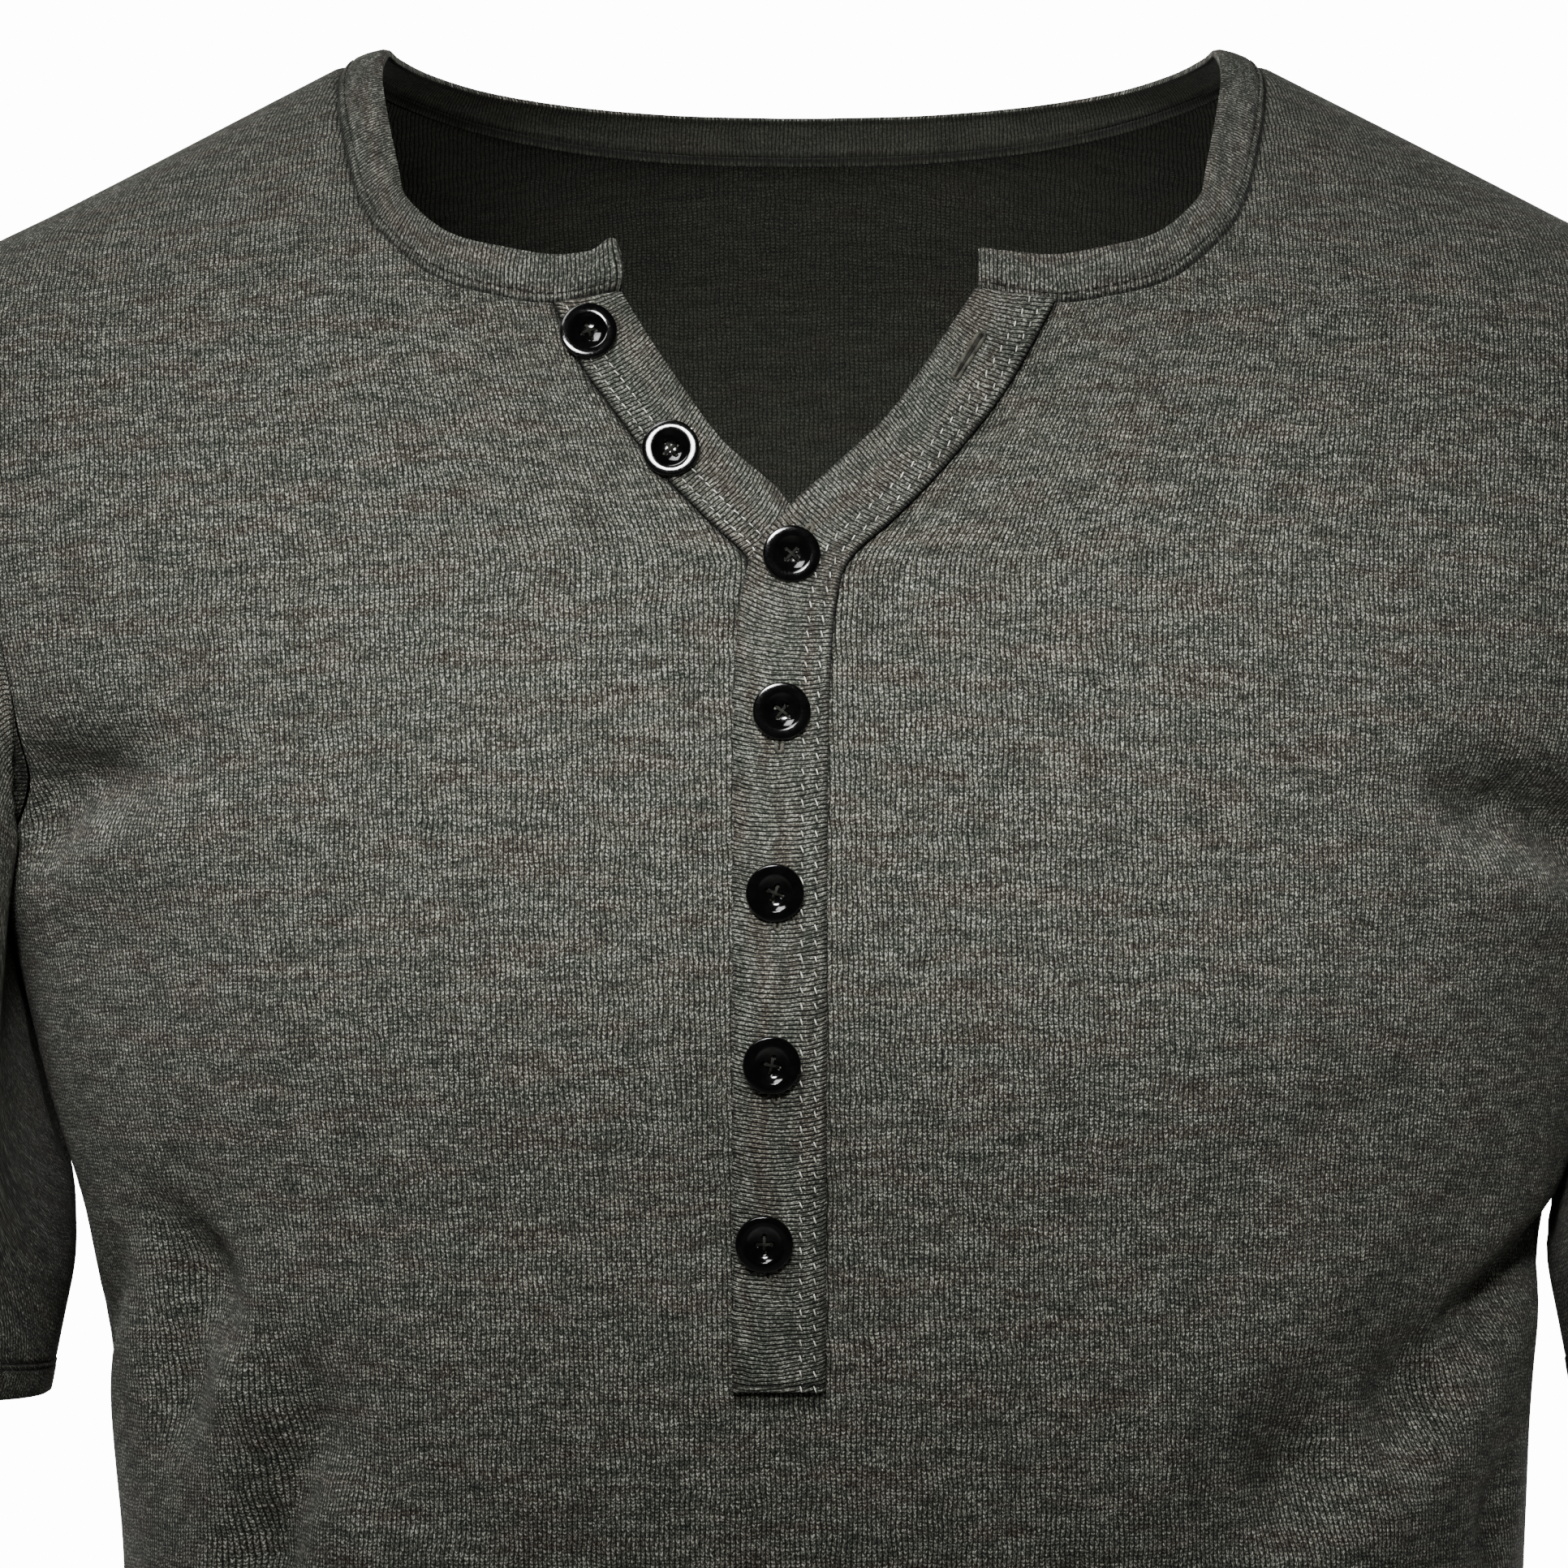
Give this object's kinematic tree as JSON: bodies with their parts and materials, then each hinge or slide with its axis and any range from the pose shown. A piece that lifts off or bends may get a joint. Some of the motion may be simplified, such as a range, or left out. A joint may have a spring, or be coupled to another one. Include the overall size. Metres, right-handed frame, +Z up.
{
  "type": "henley shirt",
  "caption": "Half-sleeve henley shirt in dark melange jersey, worn shape, round ribbed neckband and a long buttoned placket that is open at the top.",
  "frame": {"origin": "between the wearer's shoulders, at half the height of the shoulder seams", "axes": "+X towards the wearer's left, -Y to the front, +Z up"},
  "size_m": [0.624, 0.243, 0.6946],
  "materials": {
    "jersey": "matt melange single jersey",
    "rib": "matt melange fine rib",
    "button": "polished black"
  },
  "bodies": {
    "root": {"front": "jersey", "back": "jersey", "sleeve_right": "jersey", "sleeve_left": "jersey", "neckband": "rib", "placket_under": "rib", "placket_over": "rib", "button_1": "button", "button_2": "button", "button_3": "button", "button_4": "button", "button_5": "button", "button_6": "button", "button_7": "button"}
  },
  "joints": []
}
